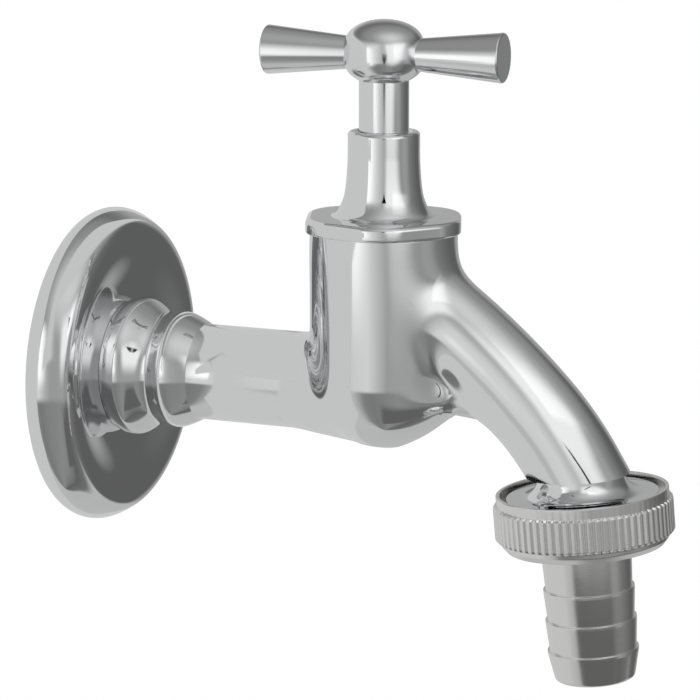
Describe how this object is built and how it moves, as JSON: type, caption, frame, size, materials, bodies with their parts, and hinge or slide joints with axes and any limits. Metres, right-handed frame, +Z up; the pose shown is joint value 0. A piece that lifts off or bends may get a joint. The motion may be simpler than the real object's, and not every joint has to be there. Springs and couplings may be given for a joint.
{
  "type": "drain cock",
  "caption": "Wall-mounted drain cock with a tee handle, rising-stem valve, bent spout, knurled union nut, barbed hose tail and a round wall flange.",
  "frame": {"origin": "centre of the inlet tail on the plane of the wall, where the plain shank ends and the thread begins", "axes": "+X runs from the wall along the inlet pipe, +Z runs up along the valve spindle"},
  "size_m": [0.1251, 0.0602, 0.1195],
  "materials": {
    "polished_chrome": "mirror polished",
    "satin_nickel": "satin nickel with turning marks",
    "brass": "machined",
    "steel": "plain",
    "seal_rubber": "matt",
    "fibre": "matt"
  },
  "bodies": {
    "body": {"body_casting": "polished_chrome", "wall_flange": "polished_chrome", "bonnet": "polished_chrome", "bonnet_gasket": "fibre"},
    "valve": {"valve_disc": "brass", "valve_washer": "seal_rubber", "washer_screw_nut": "brass"},
    "handle": {"spindle": "brass", "spindle_oring_lower": "seal_rubber", "spindle_oring_upper": "seal_rubber", "handle_hub": "polished_chrome", "handle_arm_left": "polished_chrome", "handle_arm_right": "polished_chrome", "handle_grub_screw": "steel"},
    "union": {"union_washer": "seal_rubber"},
    "nut": {"union_nut": "satin_nickel"},
    "tail": {"hose_tail": "satin_nickel"}
  },
  "joints": [
    {"name": "valve_lift", "type": "slide", "parent": "body", "child": "valve", "axis": [0, 0, 1], "range_m": [0, 0.0045]},
    {"name": "handle_turn", "type": "hinge", "parent": "valve", "child": "handle", "pos_m": [0.0592, 0, 0.06195], "axis": [0, 0, 1], "range_deg": [0, 900]},
    {"name": "union_travel", "type": "slide", "parent": "body", "child": "union", "axis": [0.0906, 0, -0.9959], "range_m": [0, 0.00545]},
    {"name": "nut_turn", "type": "hinge", "parent": "union", "child": "nut", "pos_m": [0.09855, 0, -0.02065], "axis": [0.0906, 0, -0.9959], "range_deg": [0, 1080]},
    {"name": "tail_swivel", "type": "hinge", "parent": "union", "child": "tail", "pos_m": [0.09991, 0, -0.03559], "axis": [0.0906, 0, -0.9959], "continuous": true}
  ],
  "couplings": [
    {"joint": "valve_lift", "follows": "handle_turn", "m_per_rad": 0.00028647},
    {"joint": "union_travel", "follows": "nut_turn", "m_per_rad": 0.0002887}
  ]
}
